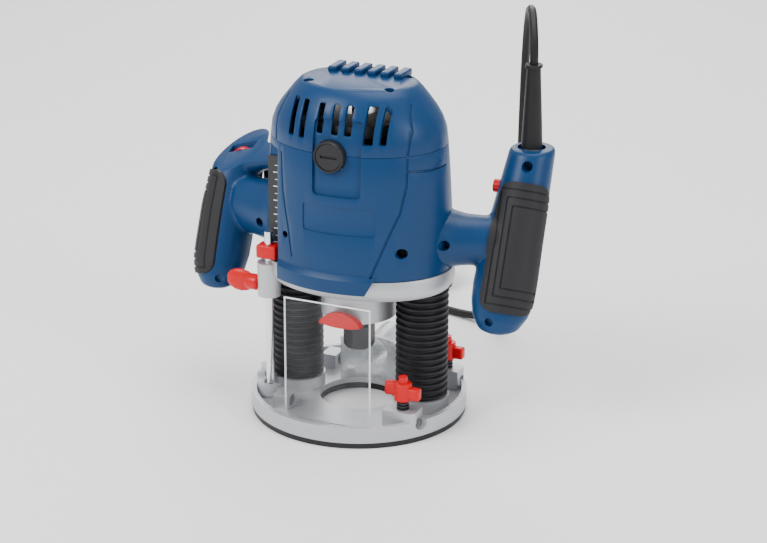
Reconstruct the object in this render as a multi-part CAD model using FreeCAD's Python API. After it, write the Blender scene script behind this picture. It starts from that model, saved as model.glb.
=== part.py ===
import FreeCAD, Part

import math
import os

# A plunge router: a round base with two guide columns, and a motor unit with two side handles
# that slides down them. The origin is on the spindle's axis, at the underside of the base.
# +X goes through the right handle, which holds the switch and the mains lead. +Y is the rear.

V = FreeCAD.Vector

# base
BASE_R = 75.0
SOLE_R = 74.5
SOLE_TOP = 4.0
FLOOR_TOP = 8.0
RIM_TOP = 15.0
RIM_INNER_R = 71.5
BASE_HOLE_R = 27.5
SOLE_HOLE_R = 27.0
BOSS_R = 19.0
BOSS_TOP = 17.0
SOLE_SCREW_AT = 62.0
SOLE_SCREW_ANGLES = (60.0, 120.0, 240.0, 300.0)
ADAPTER_R = (27.8, 30.0)
ADAPTER_TOP = 40.0
ADAPTER_SCREW = (20.5, 31.0)
SPOUT_R = (9.6, 11.5)
SPOUT_Z = 28.5

# guide columns, bellows and return springs
COLUMN_X = 47.0
COLUMN_R = 6.0
COLUMN_TOP = 148.0
BELLOWS_R = 18.3
BELLOWS_INNER_R = 15.2
BELLOWS_FOLDS = 17
BELLOWS_TOP = 95.7
SPRING_R = 9.5
SPRING_WIRE_R = 1.0
SPRING_TURNS = 10

# parallel guide channels and their clamp bolts
GUIDE_Y = 39.5
GUIDE_Z = 12.5
GUIDE_BORE_R = 4.1
GUIDE_BOSS_X = (38.0, 61.0)
GUIDE_REST_X = (-44.0, -33.0)
GUIDE_BOSS_HALF = 7.5
GUIDE_BOSS_TOP = 21.5
GUIDE_REST_TOP = 18.0
CLAMP_X = 50.0
CLAMP_STUD_R = 3.0
CLAMP_KNOB_Z = (28.0, 40.4)

# depth stop
ROD_X = -54.0
ROD_Y = -30.0
ROD_R = 3.0
ROD_FOOT = 18.3
ROD_TOP = 130.0
TURRET_X = -57.5
TURRET_Y = -25.5
TURRET_R = 8.2
TURRET_STEPS = ((-38.0, 68.0, 18.0), (30.0, 60.0, 14.0), (90.0, 66.0, 11.5),
                (156.0, 52.0, 28.5), (208.0, 57.0, 24.0), (265.0, 57.0, 21.0))
CLAMP_BOSS_Z = (84.0, 108.0)
DEPTH_BOLT_Z = 91.5
SLIDER_Z = (111.0, 121.0)

# drive housing
RING_A = 66.5
RING_B = 49.0
RING_Z = (96.0, 110.0)
NECK_R = 26.0
NECK_BORE_R = 18.0
NECK_BOTTOM = 70.0
LOCK_Z = 74.0
LOCK_HALF = 15.5
BUSH_R = 9.0
BUSH_BOSS_R = 12.0
RUN_GAP = 0.05
BODY_GAP = 0.3

# motor housing
WALL = 3.0
BODY_A = 67.0
BODY_B = 49.5
BODY_POWER = 2.15
BODY_SECTIONS = ((110.3, 66.0, 48.8), (150.0, 65.2, 49.5), (196.0, 62.0, 48.2))
CAP_SECTIONS = ((196.0, 62.0, 48.2), (214.0, 57.8, 45.2), (227.0, 47.8, 39.3), (236.0, 38.0, 30.0))
CAP_INNER = ((195.0, 59.0, 45.2), (212.0, 55.2, 42.4), (224.5, 46.0, 36.8), (233.0, 36.0, 28.0))
NOTCH_X = -44.0
NOTCH_Y = -22.5
NOTCH_TOP = 191.0
CAP_SCREWS = ((-29, -17), (29, -17), (-29, 17), (29, 17))
CARRIER_R = 40.0

# spindle and motor
SPINDLE_R = 8.0
SHAFT_R = 5.0
COLLET_R = 4.0
NUT_Z = (44.5, 61.0)
NUT_ACROSS = 19.0
STATOR_R = 33.0
STATOR_BORE_R = 20.0
ROTOR_R = 19.4
CORE_Z = (125.0, 165.0)
BRUSH_Z = 195.0

# handles: height, centre x, half width and half depth of each section
HANDLE_LEAN = 51.0 / 119.0
HANDLE_Y0 = -6.0
HANDLE_Z0 = 70.0
RIGHT_SECTIONS = ((73.5, 103.8, 12.0, 10.5), (84.0, 103.6, 19.0, 17.0), (104.0, 103.3, 21.8, 19.8),
                  (128.0, 104.0, 20.3, 19.0), (155.0, 105.5, 18.3, 18.0), (189.0, 107.5, 15.5, 16.0))
LEFT_SECTIONS = ((73.5, -107.5, 11.0, 10.5), (84.0, -107.5, 17.5, 17.0), (104.0, -107.8, 19.5, 19.5),
                 (128.0, -107.8, 19.5, 20.0), (150.0, -107.0, 18.2, 20.0), (186.0, -104.6, 16.0, 17.5))
# arms: x, centre y, centre z, half depth and half height of each section
RIGHT_ARM = ((50.0, 4.0, 130.0, 27.0, 26.0), (72.0, 9.0, 129.5, 19.0, 18.5), (96.0, 18.0, 129.5, 16.0, 17.5))
LEFT_ARM = ((-50.0, 4.0, 134.0, 27.0, 27.0), (-74.0, 9.0, 132.0, 20.0, 21.0), (-98.0, 18.0, 130.0, 17.0, 20.0))
GRIP_THICK = 1.6
GRIP_FROM = 9.0
LEFT_TOP = (-108.0, 33.0, 162.0)
LEFT_TOP_SLOPE = (0.32, 0.38)
TRIGGER_X = (99.0, 111.0)
TRIGGER_OFF = (11.5, 22.5)
TRIGGER_Z = (126.0, 164.0)
LOCK_ON = (85.6, 32.0, 163.0)
DIAL_AT = (-107.0, 154.0)
DIAL_Y = (34.5, 40.5)
DIAL_R = 9.0
LEVER_X = -44.0
LEVER_Y = (43.2, 50.5)
LEVER_Z = 140.0
LEVER_REACH = 50.0
LEVER_PIN_R = 3.0

# mains lead
CORD_R = 3.0
GUARD_X = 106.5
GUARD_Y = 45.0
GUARD_Z = (189.0, 247.0)
CORD_ROUTE = ((106.5, 45.0, 233.0), (106.5, 45.0, 258.0), (99.3, 61.0, 275.5), (88.9, 84.2, 275.3),
              (81.2, 101.0, 256.5), (75.5, 113.5, 221.0), (71.5, 122.5, 170.0), (68.0, 131.0, 118.0),
              (64.5, 139.0, 76.0), (59.8, 148.0, 45.0), (52.5, 159.0, 22.5), (37.0, 169.5, 9.0),
              (12.0, 178.5, 3.1), (-15.0, 184.6, 3.1), (-42.0, 190.0, 3.1), (-68.0, 193.6, 3.1))
COIL_X = -78.0
COIL_Y = 234.0
COIL_R = 40.3
COIL_HALF = 9.6
COIL_TOP = 19.2


def cyl(radius, z0, z1, x=0.0, y=0.0):
    return Part.makeCylinder(radius, z1 - z0, V(x, y, z0))


def tube(outer, inner, z0, z1, x=0.0, y=0.0):
    return cyl(outer, z0, z1, x, y).cut(cyl(inner, z0 - 1, z1 + 1, x, y))


def box(x, y, z):
    return Part.makeBox(x[1] - x[0], y[1] - y[0], z[1] - z[0], V(x[0], y[0], z[0]))


def rod(start, end, radius):
    a, b = V(*start), V(*end)
    return Part.makeCylinder(radius, (b - a).Length, a, b - a)


def polar(radius, degrees):
    t = math.radians(degrees)
    return radius * math.cos(t), radius * math.sin(t)


def fuse(shapes):
    return shapes[0].multiFuse(shapes[1:]).removeSplitter()


def closed_spline(points):
    curve = Part.BSplineCurve()
    curve.interpolate(Points=[V(*p) for p in points], PeriodicFlag=True)
    return Part.Wire([curve.toShape()])


def oval(a, b, z, x=0.0, y=0.0, power=2.0, count=24):
    """A closed curve at height z, an ellipse at power 2 and squarer above it."""
    points = []
    for k in range(count):
        t = 2 * math.pi * k / count
        c, s = math.cos(t), math.sin(t)
        px = math.copysign(abs(c) ** (2 / power), c)
        py = math.copysign(abs(s) ** (2 / power), s)
        points.append((x + a * px, y + b * py, z))
    return closed_spline(points)


def loft(wires):
    return Part.makeLoft(wires, True, False)


def body_shape(sections, inset=0.0, lengthen=0.0):
    """The motor housing's outline, lofted through its sections, each taken in by inset."""
    wires = []
    for k, (z, a, b) in enumerate(sections):
        if k == 0:
            z = z - lengthen
        if k == len(sections) - 1:
            z = z + lengthen
        wires.append(oval(a - inset, b - inset, z, power=BODY_POWER))
    return loft(wires)


def lean_y(z):
    return HANDLE_Y0 + (z - HANDLE_Z0) * HANDLE_LEAN


def handle_shape(sections, grow=0.0, ends=0.0):
    wires = []
    for k, (z, x, a, b) in enumerate(sections):
        if k == 0:
            z = z - ends
        if k == len(sections) - 1:
            z = z + ends
        wires.append(oval(a + grow, b + grow, z, x, lean_y(z), count=16))
    return loft(wires)


def arm_shape(sections, grow=0.0):
    wires = []
    for x, y, z, half_y, half_z in sections:
        points = []
        for k in range(16):
            t = 2 * math.pi * k / 16
            points.append((x, y + (half_y + grow) * math.cos(t), z + (half_z + grow) * math.sin(t)))
        wires.append(closed_spline(points))
    return loft(wires)


# ---- base ----

def base_plate():
    plate = tube(BASE_R, BASE_HOLE_R, SOLE_TOP, RIM_TOP)
    plate = plate.cut(tube(RIM_INNER_R, BASE_HOLE_R - 1, FLOOR_TOP, RIM_TOP + 1))
    parts = [plate]
    for side in (-1, 1):
        parts.append(cyl(BOSS_R, FLOOR_TOP - 1, BOSS_TOP, side * COLUMN_X))
        y = side * GUIDE_Y
        span = (y - GUIDE_BOSS_HALF, y + GUIDE_BOSS_HALF)
        parts.append(box(GUIDE_BOSS_X, span, (FLOOR_TOP - 1, GUIDE_BOSS_TOP)))
        parts.append(box(GUIDE_REST_X, span, (FLOOR_TOP - 1, GUIDE_REST_TOP)))
    for k in range(5):
        y = -66.5 + 2.6 * k
        parts.append(box((-22.0, 22.0), (y, y + 1.2), (FLOOR_TOP - 1, FLOOR_TOP + 1.2)))
    parts.append(cyl(4.0, FLOOR_TOP - 1, FLOOR_TOP + 0.2, TURRET_X, TURRET_Y))
    body = fuse(parts).common(cyl(BASE_R, SOLE_TOP, 30.0))
    holes = []
    for side in (-1, 1):
        holes.append(cyl(COLUMN_R, 6.0, 30.0, side * COLUMN_X))
        y = side * GUIDE_Y
        holes.append(rod((GUIDE_REST_X[0] + 3, y, GUIDE_Z), (90, y, GUIDE_Z), GUIDE_BORE_R))
        holes.append(cyl(CLAMP_STUD_R + RUN_GAP, GUIDE_Z, 30.0, CLAMP_X, y))
    for angle in SOLE_SCREW_ANGLES:
        x, y = polar(SOLE_SCREW_AT, angle)
        holes.append(cyl(2.0, SOLE_TOP - 1, 7.5, x, y))
    for side in (-1, 1):
        holes.append(cyl(1.5, SOLE_TOP - 1, 30.0, side * ADAPTER_SCREW[0], ADAPTER_SCREW[1]))
    holes.append(cyl(1.75, SOLE_TOP - 1, 12.0, TURRET_X, TURRET_Y))
    return body.cut(fuse(holes))


def base_sole():
    sole = tube(SOLE_R, SOLE_HOLE_R, 0.0, SOLE_TOP)
    for angle in SOLE_SCREW_ANGLES:
        x, y = polar(SOLE_SCREW_AT, angle)
        sole = sole.cut(cyl(2.0, -1, 5, x, y)).cut(screw_head(x, y))
    return sole


def screw_head(x, y):
    return Part.makeCone(4.2, 2.0, 2.2, V(x, y, 0.6)).fuse(cyl(4.2, -0.1, 0.6, x, y))


def sole_screws():
    screws = []
    for angle in SOLE_SCREW_ANGLES:
        x, y = polar(SOLE_SCREW_AT, angle)
        head = Part.makeCone(4.2, 2.0, 2.2, V(x, y, 0.6))
        slot = box((x - 3.0, x + 3.0), (y - 0.5, y + 0.5), (0.0, 1.4))
        screws.append(head.fuse(cyl(2.0, 2.7, 7.5, x, y)).cut(slot))
    return Part.makeCompound(screws)


def guide_column(side):
    column = cyl(COLUMN_R, 6.0, COLUMN_TOP, side * COLUMN_X)
    return column.cut(cyl(3.5, 20.0, COLUMN_TOP + 1, side * COLUMN_X))


def bellows(side):
    z0 = BOSS_TOP
    pitch = (BELLOWS_TOP - z0) / BELLOWS_FOLDS
    thick = 0.9
    outer, inner = [], []
    for k in range(BELLOWS_FOLDS):
        z = z0 + k * pitch
        outer += [(BELLOWS_INNER_R + thick, z), (BELLOWS_R, z + pitch / 2)]
        inner += [(BELLOWS_INNER_R, z), (BELLOWS_R - thick, z + pitch / 2)]
    outer.append((BELLOWS_INNER_R + thick, BELLOWS_TOP))
    inner.append((BELLOWS_INNER_R, BELLOWS_TOP))
    profile = outer + inner[::-1]
    points = [V(side * COLUMN_X + r, 0, z) for r, z in profile]
    face = Part.Face(Part.makePolygon(points + points[:1]))
    return face.revolve(V(side * COLUMN_X, 0, 0), V(0, 0, 1), 360)


def return_spring(side):
    z0 = BOSS_TOP + SPRING_WIRE_R + 0.1
    height = BELLOWS_TOP - SPRING_WIRE_R - 0.1 - z0
    helix = Part.makeHelix(height / SPRING_TURNS, height, SPRING_R)
    ring = Part.Circle(V(SPRING_R, 0, 0), V(0, 1, 0), SPRING_WIRE_R)
    spring = Part.Wire(helix).makePipeShell([Part.Wire([ring.toShape()])], True, True)
    spring.translate(V(side * COLUMN_X, 0, z0))
    return spring


def dust_adapter():
    """A clear shroud behind the cutter, with a round spout to the rear and two screwed ears."""
    low, high = ADAPTER_R
    wall = tube(high, low, FLOOR_TOP, ADAPTER_TOP)
    corners = ((0, 0, 0), (46, 38, 0), (46, 60, 0), (-46, 60, 0), (-46, 38, 0), (0, 0, 0))
    wedge = Part.Face(Part.makePolygon([V(*p) for p in corners])).extrude(V(0, 0, 60))
    spout = rod((0, low, SPOUT_Z), (0, 60, SPOUT_Z), SPOUT_R[1])
    ears = box((-24.5, 24.5), (27.0, 35.0), (FLOOR_TOP, FLOOR_TOP + 2.2))
    body = fuse([wall.common(wedge), spout, ears])
    body = body.cut(rod((0, low - 8, SPOUT_Z), (0, 70, SPOUT_Z), SPOUT_R[0])).cut(cyl(low, 0, 60))
    for side in (-1, 1):
        body = body.cut(cyl(1.5, 0, 20, side * ADAPTER_SCREW[0], ADAPTER_SCREW[1]))
    return body


def dust_adapter_screws():
    screws = []
    for side in (-1, 1):
        x, y = side * ADAPTER_SCREW[0], ADAPTER_SCREW[1]
        z = FLOOR_TOP + 2.2
        screws.append(cyl(1.5, 5.0, z + 0.5, x, y).fuse(cyl(3.0, z, z + 2.0, x, y)))
    return Part.makeCompound(screws)


def clamp_stud(side):
    y = side * GUIDE_Y
    return cyl(CLAMP_STUD_R, GUIDE_Z + GUIDE_BORE_R + 0.2, CLAMP_KNOB_Z[0] + 5, CLAMP_X, y)


def clamp_knob(side):
    y = side * GUIDE_Y
    z0, z1 = CLAMP_KNOB_Z
    hub = cyl(6.0, z0, z1, CLAMP_X, y)
    wings = box((CLAMP_X - 12.5, CLAMP_X + 12.5), (y - 3.2, y + 3.2), (z0 + 2.5, z1))
    return fuse([hub, wings]).cut(cyl(CLAMP_STUD_R, z0 - 1, z0 + 5, CLAMP_X, y))


def step_turret():
    disc = cyl(TURRET_R, FLOOR_TOP + 0.5, 10.5, TURRET_X, TURRET_Y)
    toward = math.degrees(math.atan2(ROD_Y - TURRET_Y, ROD_X - TURRET_X))
    steps = [disc]
    for start, width, top in TURRET_STEPS:
        step = Part.makeCylinder(TURRET_R, top - 9.5, V(0, 0, 9.5), V(0, 0, 1), width)
        step.rotate(V(0, 0, 0), V(0, 0, 1), toward + start)
        step.translate(V(TURRET_X, TURRET_Y, 0))
        steps.append(step)
    turret = fuse(steps)
    turret = turret.cut(cyl(1.75 + RUN_GAP, 0, 60, TURRET_X, TURRET_Y))
    return turret.cut(cyl(2.9, 10.5, 60, TURRET_X, TURRET_Y))


def turret_screw():
    shank = cyl(1.75, 4.5, 10.8, TURRET_X, TURRET_Y)
    head = cyl(2.6, 10.8, 12.6, TURRET_X, TURRET_Y)
    return shank.fuse(head)


def chip_guard():
    sheet = box((-31.5, 31.5), (-53.5, -51.7), (12.0, 94.0))
    feet = []
    for side in (-1, 1):
        x = side * 31.0
        feet.append(box((x - 4.0, x + 4.0), (-56.0, -50.5), (FLOOR_TOP + 0.3, 16.0)))
    return fuse([sheet] + feet)


# ---- motor unit ----

def drive_housing():
    z0, z1 = RING_Z
    ring = loft([oval(RING_A - 2.0, RING_B - 2.0, z0), oval(RING_A, RING_B, z0 + 3),
                 oval(RING_A, RING_B, z1)])
    cavity = loft([oval(RING_A - 5, RING_B - 5, z0 + 6), oval(RING_A - 5, RING_B - 5, z1 + 1)])
    shell = ring.cut(cavity)
    parts = [shell, cyl(NECK_R, NECK_BOTTOM, z0 + 1)]
    for side in (-1, 1):
        parts.append(cyl(BUSH_BOSS_R, z0, z1 + 10, side * COLUMN_X))
    parts.append(cyl(8.0, CLAMP_BOSS_Z[0], CLAMP_BOSS_Z[1], ROD_X, ROD_Y))
    body = fuse(parts)
    holes = [cyl(NECK_BORE_R, NECK_BOTTOM + 16, 120), cyl(16.0, NECK_BOTTOM - 1, 120),
             cyl(ROD_R + RUN_GAP, 60, 130, ROD_X, ROD_Y),
             rod((ROD_X, ROD_Y, DEPTH_BOLT_Z), (-80, ROD_Y, DEPTH_BOLT_Z), CLAMP_STUD_R + RUN_GAP),
             rod((0, -40, LOCK_Z), (0, 0, LOCK_Z), 2.8)]
    for side in (-1, 1):
        holes.append(cyl(BUSH_R, z0 - 1, 200, side * COLUMN_X))
    return body.cut(fuse(holes))


def guide_bush(side):
    return tube(BUSH_R, COLUMN_R + RUN_GAP, RING_Z[0], RING_Z[1] + 10, side * COLUMN_X)


def lower_bearing():
    return tube(16.0, SPINDLE_R + RUN_GAP, 77.0, 86.0)


def upper_bearing():
    return tube(11.0, SHAFT_R + RUN_GAP, 206.0, 214.0)


def bearing_carrier():
    return tube(CARRIER_R, 11.0, 206.0, 214.0)


def spindle_shaft():
    lower = cyl(SPINDLE_R, NUT_Z[1] - 5, 100.0)
    upper = cyl(SHAFT_R, 99.0, 217.0)
    socket = cyl(6.5, 50.0, 86.0)
    return lower.fuse(upper).cut(socket)


def collet():
    body = Part.makeCone(6.0, 6.4, 14.0, V(0, 0, NUT_Z[0] + 3)).fuse(cyl(6.4, NUT_Z[0] + 17, 85.0))
    slits = box((-0.4, 0.4), (-20, 20), (0, 70)).fuse(box((-20, 20), (-0.4, 0.4), (0, 70)))
    return body.cut(cyl(COLLET_R, 0, 80)).cut(slits)


def collet_nut():
    side = NUT_ACROSS / 2 / math.cos(math.radians(30))
    points = [V(*polar(side, 30 + 60 * k), NUT_Z[0]) for k in range(7)]
    nut = Part.Face(Part.makePolygon(points)).extrude(V(0, 0, NUT_Z[1] - NUT_Z[0]))
    nut = nut.common(Part.makeCone(9.4, 24.0, NUT_Z[1] - NUT_Z[0], V(0, 0, NUT_Z[0])))
    nut = nut.fuse(cyl(9.4, NUT_Z[1] - 0.5, NUT_Z[1] + 1.5))
    bore = cyl(6.6, 0, 200).fuse(cyl(SPINDLE_R, NUT_Z[1] - 5, 200))
    return nut.cut(bore)


def rotor_core():
    core = tube(ROTOR_R, SHAFT_R, CORE_Z[0], CORE_Z[1])
    for k in range(12):
        x, y = polar(ROTOR_R, 30 * k)
        core = core.cut(cyl(1.0, 0, 300, x, y))
    return core


def rotor_windings():
    low = tube(17.0, SHAFT_R, CORE_Z[0] - 6, CORE_Z[0])
    high = tube(17.0, SHAFT_R, CORE_Z[1], CORE_Z[1] + 8)
    return Part.makeCompound([low, high])


def commutator():
    return tube(13.0, SHAFT_R, BRUSH_Z - 10, BRUSH_Z + 8)


def fan():
    hub = tube(9.0, SHAFT_R, 106.0, 118.0)
    disc = tube(30.0, 8.0, 106.0, 107.6)
    blades = []
    for k in range(9):
        blade = box((8.5, 29.0), (-0.7, 0.7), (107.0, 117.0))
        blade.rotate(V(0, 0, 0), V(0, 0, 1), 40 * k)
        blades.append(blade)
    return fuse([hub, disc] + blades)


def stator_core():
    core = tube(STATOR_R, STATOR_BORE_R, CORE_Z[0], CORE_Z[1])
    for side in (-1, 1):
        core = core.cut(box(sorted((side * 27.0, side * 40.0)), (-9.0, 9.0), (0, 300)))
    return core


def field_windings():
    coils = []
    for z0, z1 in ((CORE_Z[0] - 6, CORE_Z[0]), (CORE_Z[1], CORE_Z[1] + 10)):
        for angle in (30.0, 210.0):
            coil = tube(31.0, 21.5, z0, z1)
            wedge = Part.makeCylinder(40.0, z1 - z0, V(0, 0, z0), V(0, 0, 1), 120)
            wedge.rotate(V(0, 0, 0), V(0, 0, 1), angle)
            coils.append(coil.common(wedge))
    return Part.makeCompound(coils)


def brush_holders():
    tubes = []
    for side in (-1, 1):
        y = sorted((side * 16.0, side * 43.0))
        outer = box((-5.5, 5.5), y, (BRUSH_Z - 6.0, BRUSH_Z + 6.0))
        inner = box((-3.5, 3.5), (-60, 60), (BRUSH_Z - 4.5, BRUSH_Z + 4.5))
        tubes.append(outer.cut(inner))
    return Part.makeCompound(tubes)


def carbon_brushes():
    blocks = []
    for side in (-1, 1):
        y = sorted((side * 13.2, side * 28.0))
        blocks.append(box((-3.4, 3.4), y, (BRUSH_Z - 4.4, BRUSH_Z + 4.4)))
    return Part.makeCompound(blocks)


def brush_caps():
    caps = []
    for side in (-1, 1):
        body = rod((0, side * 43.0, BRUSH_Z), (0, side * 49.5, BRUSH_Z), 9.0)
        slot = box((-6, 6), sorted((side * 48.3, side * 52.0)), (BRUSH_Z - 1, BRUSH_Z + 1))
        caps.append(body.cut(slot))
    return Part.makeCompound(caps)


def housing_notch(grow):
    """The recess in the left front corner that the depth rod and its scale stand in."""
    return box((-90, NOTCH_X + grow), (-80, NOTCH_Y + grow), (100, NOTCH_TOP + grow))


def motor_housing():
    outer = body_shape(BODY_SECTIONS).cut(housing_notch(0.0))
    inner = body_shape(BODY_SECTIONS, WALL, 1.0).cut(housing_notch(WALL))
    shell = outer.cut(inner).cut(rod((LEVER_X, 30, LEVER_Z), (LEVER_X, 60, LEVER_Z), LEVER_PIN_R))
    return shell.cut(rod((0, -60, BRUSH_Z), (0, 60, BRUSH_Z), 9.0))


def top_cap():
    outer = body_shape(CAP_SECTIONS)
    inner = body_shape(CAP_INNER)
    shell = outer.cut(inner)
    for side in (-1, 1):
        for x in (-26, -18, -10, 10, 18, 26):
            slot = box((x - 1.6, x + 1.6), sorted((side * 30, side * 60)), (207, 222))
            shell = shell.cut(slot)
    for x, y in CAP_SCREWS:
        shell = shell.cut(cyl(3.0, 220, 250, x, y))
    return shell.cut(rod((0, -60, BRUSH_Z), (0, 60, BRUSH_Z), 9.0))


def cap_screws():
    return Part.makeCompound([cyl(3.0, 226.0, 233.5, x, y) for x, y in CAP_SCREWS])


def half_space(front):
    """The space in front of or behind the plane that splits a handle along its lean."""
    far = -400.0 if front else 400.0
    outline = [V(-200, lean_y(0), 0), V(-200, lean_y(300), 300), V(-200, far, 300), V(-200, far, 0)]
    return Part.Face(Part.makePolygon(outline + outline[:1])).extrude(V(400, 0, 0))


def left_top_cut(lower=0.0):
    """The space above the left handle's top face, which slopes down to the outside and the front."""
    x, y, z = LEFT_TOP
    space = Part.makeBox(200, 200, 200, V(-100, -100, 0))
    normal = V(-LEFT_TOP_SLOPE[0], -LEFT_TOP_SLOPE[1], 1)
    space.Placement = FreeCAD.Placement(V(x, y, z - lower), FreeCAD.Rotation(V(0, 0, 1), normal))
    return space


def right_handle():
    """Two shells, with openings for the trigger, the lock-on button and the cord guard."""
    outer = handle_shape(RIGHT_SECTIONS).fuse(arm_shape(RIGHT_ARM)).cut(barrel())
    whole = outer.cut(handle_shape(RIGHT_SECTIONS, -WALL, -WALL)).cut(arm_shape(RIGHT_ARM, -WALL))
    window = leaning_block(TRIGGER_X, (TRIGGER_OFF[0] - 9, TRIGGER_OFF[1]), TRIGGER_Z, 0.5)
    whole = whole.cut(window).cut(rod((70, LOCK_ON[1], LOCK_ON[2]), (97, LOCK_ON[1], LOCK_ON[2]), 4.9))
    return whole.common(half_space(True)), whole.common(half_space(False))


def left_handle():
    """Two shells, the rear one with a window in its sloping top for the speed dial."""
    solid = handle_shape(LEFT_SECTIONS).cut(left_top_cut())
    outer = solid.fuse(arm_shape(LEFT_ARM)).cut(barrel())
    room = handle_shape(LEFT_SECTIONS, -WALL, -WALL).cut(left_top_cut(WALL))
    whole = outer.cut(room).cut(arm_shape(LEFT_ARM, -WALL))
    x, z = DIAL_AT
    window = box((x - DIAL_R - 0.6, x + DIAL_R + 0.6), (DIAL_Y[0] - 0.6, DIAL_Y[1] + 0.6), (z - DIAL_R, 200))
    whole = whole.cut(window)
    return whole.common(half_space(True)), whole.common(half_space(False))


def barrel():
    """Everything inside the motor and drive housings, which the arms stop short of."""
    ring = loft([oval(RING_A + BODY_GAP, RING_B + BODY_GAP, z) for z in (90.0, RING_Z[1] + BODY_GAP)])
    return body_shape(BODY_SECTIONS, 0.0, 1.0).fuse(ring)


def soft_grip(sections, arm, facing, low, high):
    """A rubber pad on the side of the handle that faces the palm."""
    skin = handle_shape(sections, GRIP_THICK).cut(handle_shape(sections)).cut(arm_shape(arm, 1.0))
    angle = math.radians(facing)
    nx, ny = math.cos(angle), math.sin(angle)
    x0 = sections[2][1]
    ends = []
    for z in (low, high):
        corners = []
        for along, out in ((-90, GRIP_FROM), (90, GRIP_FROM), (90, 90), (-90, 90), (-90, GRIP_FROM)):
            corners.append(V(x0 - ny * along + nx * out, lean_y(z) + nx * along + ny * out, z))
        ends.append(Part.makePolygon(corners))
    return skin.common(Part.makeLoft(ends, True, True))


def leaning_block(x, off, z, grow=0.0):
    """A block that follows a handle's lean: off is its front and back, from the handle's centre line."""
    z0, z1 = z[0] - grow, z[1] + grow
    outline = [V(x[0] - grow, lean_y(z0) + off[0], z0), V(x[0] - grow, lean_y(z0) + off[1] + grow, z0),
               V(x[0] - grow, lean_y(z1) + off[1] + grow, z1), V(x[0] - grow, lean_y(z1) + off[0], z1)]
    face = Part.Face(Part.makePolygon(outline + outline[:1]))
    return face.extrude(V(x[1] - x[0] + 2 * grow, 0, 0))


def switch_module():
    return leaning_block((97.5, 111.0), (-9.0, 6.0), (128.0, 156.0))


def trigger():
    return leaning_block(TRIGGER_X, TRIGGER_OFF, TRIGGER_Z)


def lock_on_button():
    x, y, z = LOCK_ON
    return rod((x, y, z), (98.0, y, z), 4.5)


def speed_dial():
    x, z = DIAL_AT
    return rod((x, DIAL_Y[0], z), (x, DIAL_Y[1], z), DIAL_R)


def control_board():
    return leaning_block((-117.0, -98.0), (-1.2, 0.8), (90.0, 125.0))


def depth_rod():
    return cyl(ROD_R, ROD_FOOT, ROD_TOP, ROD_X, ROD_Y)


def index_slider():
    z0, z1 = SLIDER_Z
    block = box((ROD_X - 7.5, ROD_X + 7.5), (ROD_Y - 5.5, ROD_Y + 5.0), (z0, z1))
    return block.cut(cyl(ROD_R + RUN_GAP, 0, 200, ROD_X, ROD_Y))


def depth_clamp_stud():
    return rod((ROD_X - ROD_R - BODY_GAP, ROD_Y, DEPTH_BOLT_Z), (-68.0, ROD_Y, DEPTH_BOLT_Z), CLAMP_STUD_R)


def depth_clamp_knob():
    hub = rod((-63.0, ROD_Y, DEPTH_BOLT_Z), (-84.0, ROD_Y, DEPTH_BOLT_Z), 5.6)
    wings = box((-84.0, -69.0), (ROD_Y - 2.8, ROD_Y + 2.8), (DEPTH_BOLT_Z - 7.0, DEPTH_BOLT_Z + 7.0))
    stud = rod((-60.0, ROD_Y, DEPTH_BOLT_Z), (-68.0, ROD_Y, DEPTH_BOLT_Z), CLAMP_STUD_R)
    return fuse([hub, wings]).cut(stud)


def depth_scale():
    return box((-57.0, -49.0), (NOTCH_Y - 0.8, NOTCH_Y), (112.0, 182.0))


def spindle_lock_button():
    """A lens-shaped button in front of the neck, curved to follow it."""
    left, right = V(-LOCK_HALF, -33.5, LOCK_Z - 3.0), V(LOCK_HALF, -33.5, LOCK_Z - 3.0)
    low = Part.Arc(left, V(0, -33.5, LOCK_Z - 5.0), right)
    high = Part.Arc(right, V(0, -33.5, LOCK_Z + 6.0), left)
    lens = Part.Face(Part.Wire([low.toShape(), high.toShape()])).extrude(V(0, 6.0, 0))
    return lens.cut(cyl(NECK_R + 4.3, 0, 200)).cut(spindle_lock_pin())


def spindle_lock_pin():
    return rod((0, -31.0, LOCK_Z), (0, -13.0, LOCK_Z), 2.5)


def plunge_lock_lever():
    y0, y1 = LEVER_Y
    hub = rod((LEVER_X, y0, LEVER_Z), (LEVER_X, y1, LEVER_Z), 8.0)
    arm = box((LEVER_X - LEVER_REACH + 5, LEVER_X), (y0 + 1.5, y1 - 1.5), (LEVER_Z - 4.0, LEVER_Z + 5.0))
    pad = box((LEVER_X - LEVER_REACH, LEVER_X - 30.0), (y0, y1), (LEVER_Z - 3.0, LEVER_Z + 7.0))
    pin = rod((LEVER_X, 30.0, LEVER_Z), (LEVER_X, 60.0, LEVER_Z), LEVER_PIN_R + RUN_GAP)
    return fuse([hub, arm, pad]).cut(pin)


def plunge_lever_pin():
    return rod((LEVER_X, 33.0, LEVER_Z), (LEVER_X, LEVER_Y[1], LEVER_Z), LEVER_PIN_R)


def cord_guard():
    z0, z1 = GUARD_Z
    cone = Part.makeCone(7.2, 4.6, z1 - z0, V(GUARD_X, GUARD_Y, z0))
    return cone.cut(cyl(CORD_R + 0.15, CORD_ROUTE[0][2] - 0.5, z1 + 1, GUARD_X, GUARD_Y))


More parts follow.
